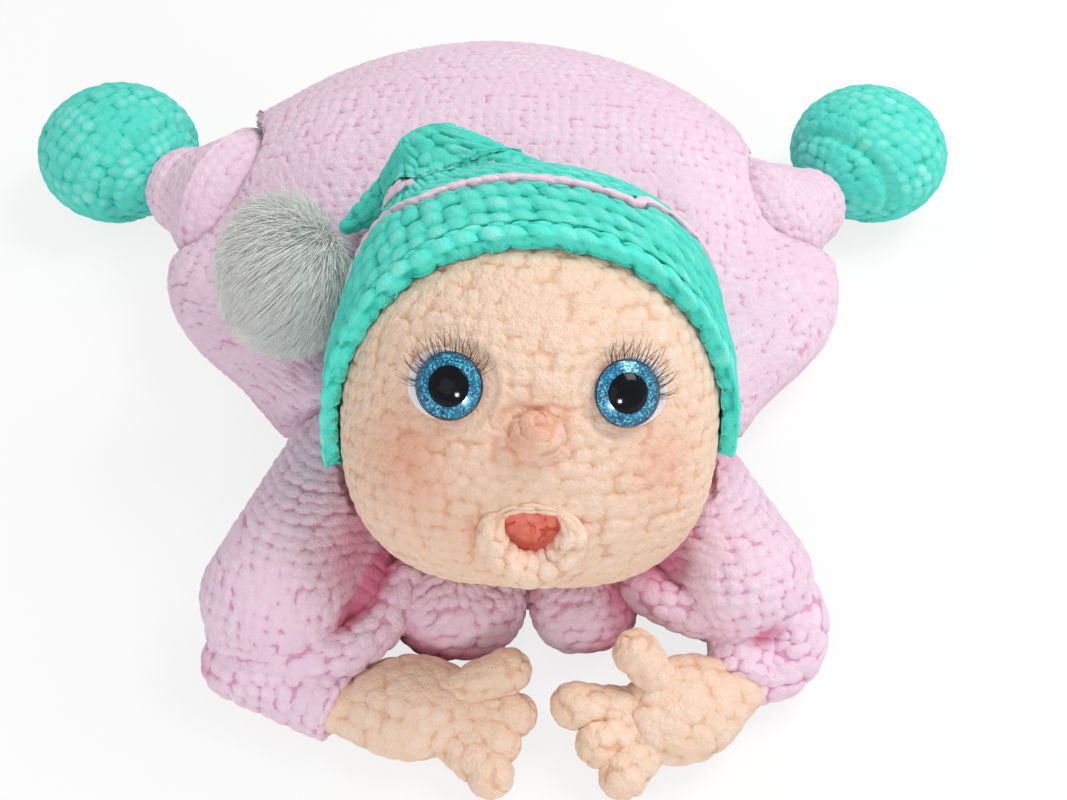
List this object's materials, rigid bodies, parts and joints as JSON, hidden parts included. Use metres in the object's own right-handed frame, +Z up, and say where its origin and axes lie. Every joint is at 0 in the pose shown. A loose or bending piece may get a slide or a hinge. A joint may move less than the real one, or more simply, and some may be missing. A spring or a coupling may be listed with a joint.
{
  "type": "crocheted doll",
  "caption": "Crocheted plush baby doll lying on its belly, with a pompom sleeping cap, puffed romper, ball booties, safety eyes and an open mouth.",
  "frame": {"origin": "centre of the footprint box, on the floor", "axes": "+X towards the doll's left arm, to the right of a viewer who faces it; -Y out of the face; +Z up"},
  "size_m": [0.5954, 0.5146, 0.2199],
  "materials": {
    "romper_yarn": "fuzzy chenille crochet",
    "mint_yarn": "fuzzy chenille crochet",
    "skin_yarn": "fuzzy chenille crochet",
    "coral_yarn": "fuzzy chenille crochet",
    "faux_fur": "long pile",
    "felt": "pressed felt",
    "clear_plastic": "clear and glossy",
    "black_plastic": "glossy",
    "glitter_film": "glitter under gloss",
    "lash_hair": "fine dark hair",
    "white_plastic": "moulded"
  },
  "bodies": {
    "body": {"body": "romper_yarn", "neck": "skin_yarn"},
    "head": {"head": "skin_yarn", "nose": "skin_yarn", "lip_ring": "skin_yarn", "mouth_lining": "coral_yarn", "eye_left_felt": "felt", "eye_left_lashes": "lash_hair", "eye_left_iris": "glitter_film", "eye_left_pupil": "black_plastic", "eye_left_dome": "clear_plastic", "eye_left_washer": "white_plastic", "eye_right_felt": "felt", "eye_right_lashes": "lash_hair", "eye_right_iris": "glitter_film", "eye_right_pupil": "black_plastic", "eye_right_dome": "clear_plastic", "eye_right_washer": "white_plastic", "hat_band": "mint_yarn", "hat_stripe": "romper_yarn", "hat_crown": "mint_yarn", "hat_tail_stripe": "romper_yarn", "hat_tail": "mint_yarn"},
    "pompom": {"pompom": "faux_fur", "pompom_tie": "mint_yarn"},
    "sleeve_left": {"sleeve_left": "romper_yarn"},
    "forearm_left": {"forearm_left": "romper_yarn"},
    "hand_left": {"palm_left": "skin_yarn", "thumb_left": "skin_yarn", "index_finger_left": "skin_yarn", "middle_finger_left": "skin_yarn", "little_finger_left": "skin_yarn"},
    "leg_left": {"leg_left": "romper_yarn"},
    "bootie_left": {"bootie_left": "mint_yarn"},
    "sleeve_right": {"sleeve_right": "romper_yarn"},
    "forearm_right": {"forearm_right": "romper_yarn"},
    "hand_right": {"palm_right": "skin_yarn", "thumb_right": "skin_yarn", "index_finger_right": "skin_yarn", "middle_finger_right": "skin_yarn", "little_finger_right": "skin_yarn"},
    "leg_right": {"leg_right": "romper_yarn"},
    "bootie_right": {"bootie_right": "mint_yarn"}
  },
  "joints": [
    {"name": "neck_turn", "type": "hinge", "parent": "body", "child": "head", "pos_m": [0.01066, -0.05919, 0.03122], "axis": [0, -0.3, 0.9539], "range_deg": [0, 15]},
    {"name": "pompom_lift", "type": "hinge", "parent": "head", "child": "pompom", "pos_m": [-0.08468, 0.02566, 0.12607], "axis": [-0.5585, 0.8295, 0], "range_deg": [0, 60]},
    {"name": "shoulder_left", "type": "hinge", "parent": "body", "child": "sleeve_left", "pos_m": [-0.08816, -0.07333, 0.0355], "axis": [0, 0, 1], "range_deg": [-40, 0]},
    {"name": "elbow_left", "type": "hinge", "parent": "sleeve_left", "child": "forearm_left", "pos_m": [-0.11902, -0.18083, 0.0215], "axis": [0, 0, 1], "range_deg": [-45, 0]},
    {"name": "wrist_left", "type": "hinge", "parent": "forearm_left", "child": "hand_left", "pos_m": [-0.08504, -0.20552, 0.0175], "axis": [0.0175, -0.9998, 0], "range_deg": [0, 20]},
    {"name": "knee_left", "type": "hinge", "parent": "body", "child": "leg_left", "pos_m": [-0.16986, 0.11956, 0.0455], "axis": [0, 0, 1], "range_deg": [-5, 35]},
    {"name": "ankle_left", "type": "hinge", "parent": "leg_left", "child": "bootie_left", "pos_m": [-0.24566, 0.18643, 0.0395], "axis": [0, 0, 1], "range_deg": [-20, 20]},
    {"name": "shoulder_right", "type": "hinge", "parent": "body", "child": "sleeve_right", "pos_m": [0.08816, -0.07333, 0.0355], "axis": [0, 0, 1], "range_deg": [0, 40]},
    {"name": "elbow_right", "type": "hinge", "parent": "sleeve_right", "child": "forearm_right", "pos_m": [0.1216, -0.16879, 0.0215], "axis": [0, 0, 1], "range_deg": [0, 45]},
    {"name": "wrist_right", "type": "hinge", "parent": "forearm_right", "child": "hand_right", "pos_m": [0.11536, -0.19814, 0.0175], "axis": [-0.4226, 0.9063, 0], "range_deg": [0, 20]},
    {"name": "knee_right", "type": "hinge", "parent": "body", "child": "leg_right", "pos_m": [0.16986, 0.11956, 0.0455], "axis": [0, 0, 1], "range_deg": [-35, 5]},
    {"name": "ankle_right", "type": "hinge", "parent": "leg_right", "child": "bootie_right", "pos_m": [0.24566, 0.18643, 0.0395], "axis": [0, 0, 1], "range_deg": [-20, 20]}
  ]
}
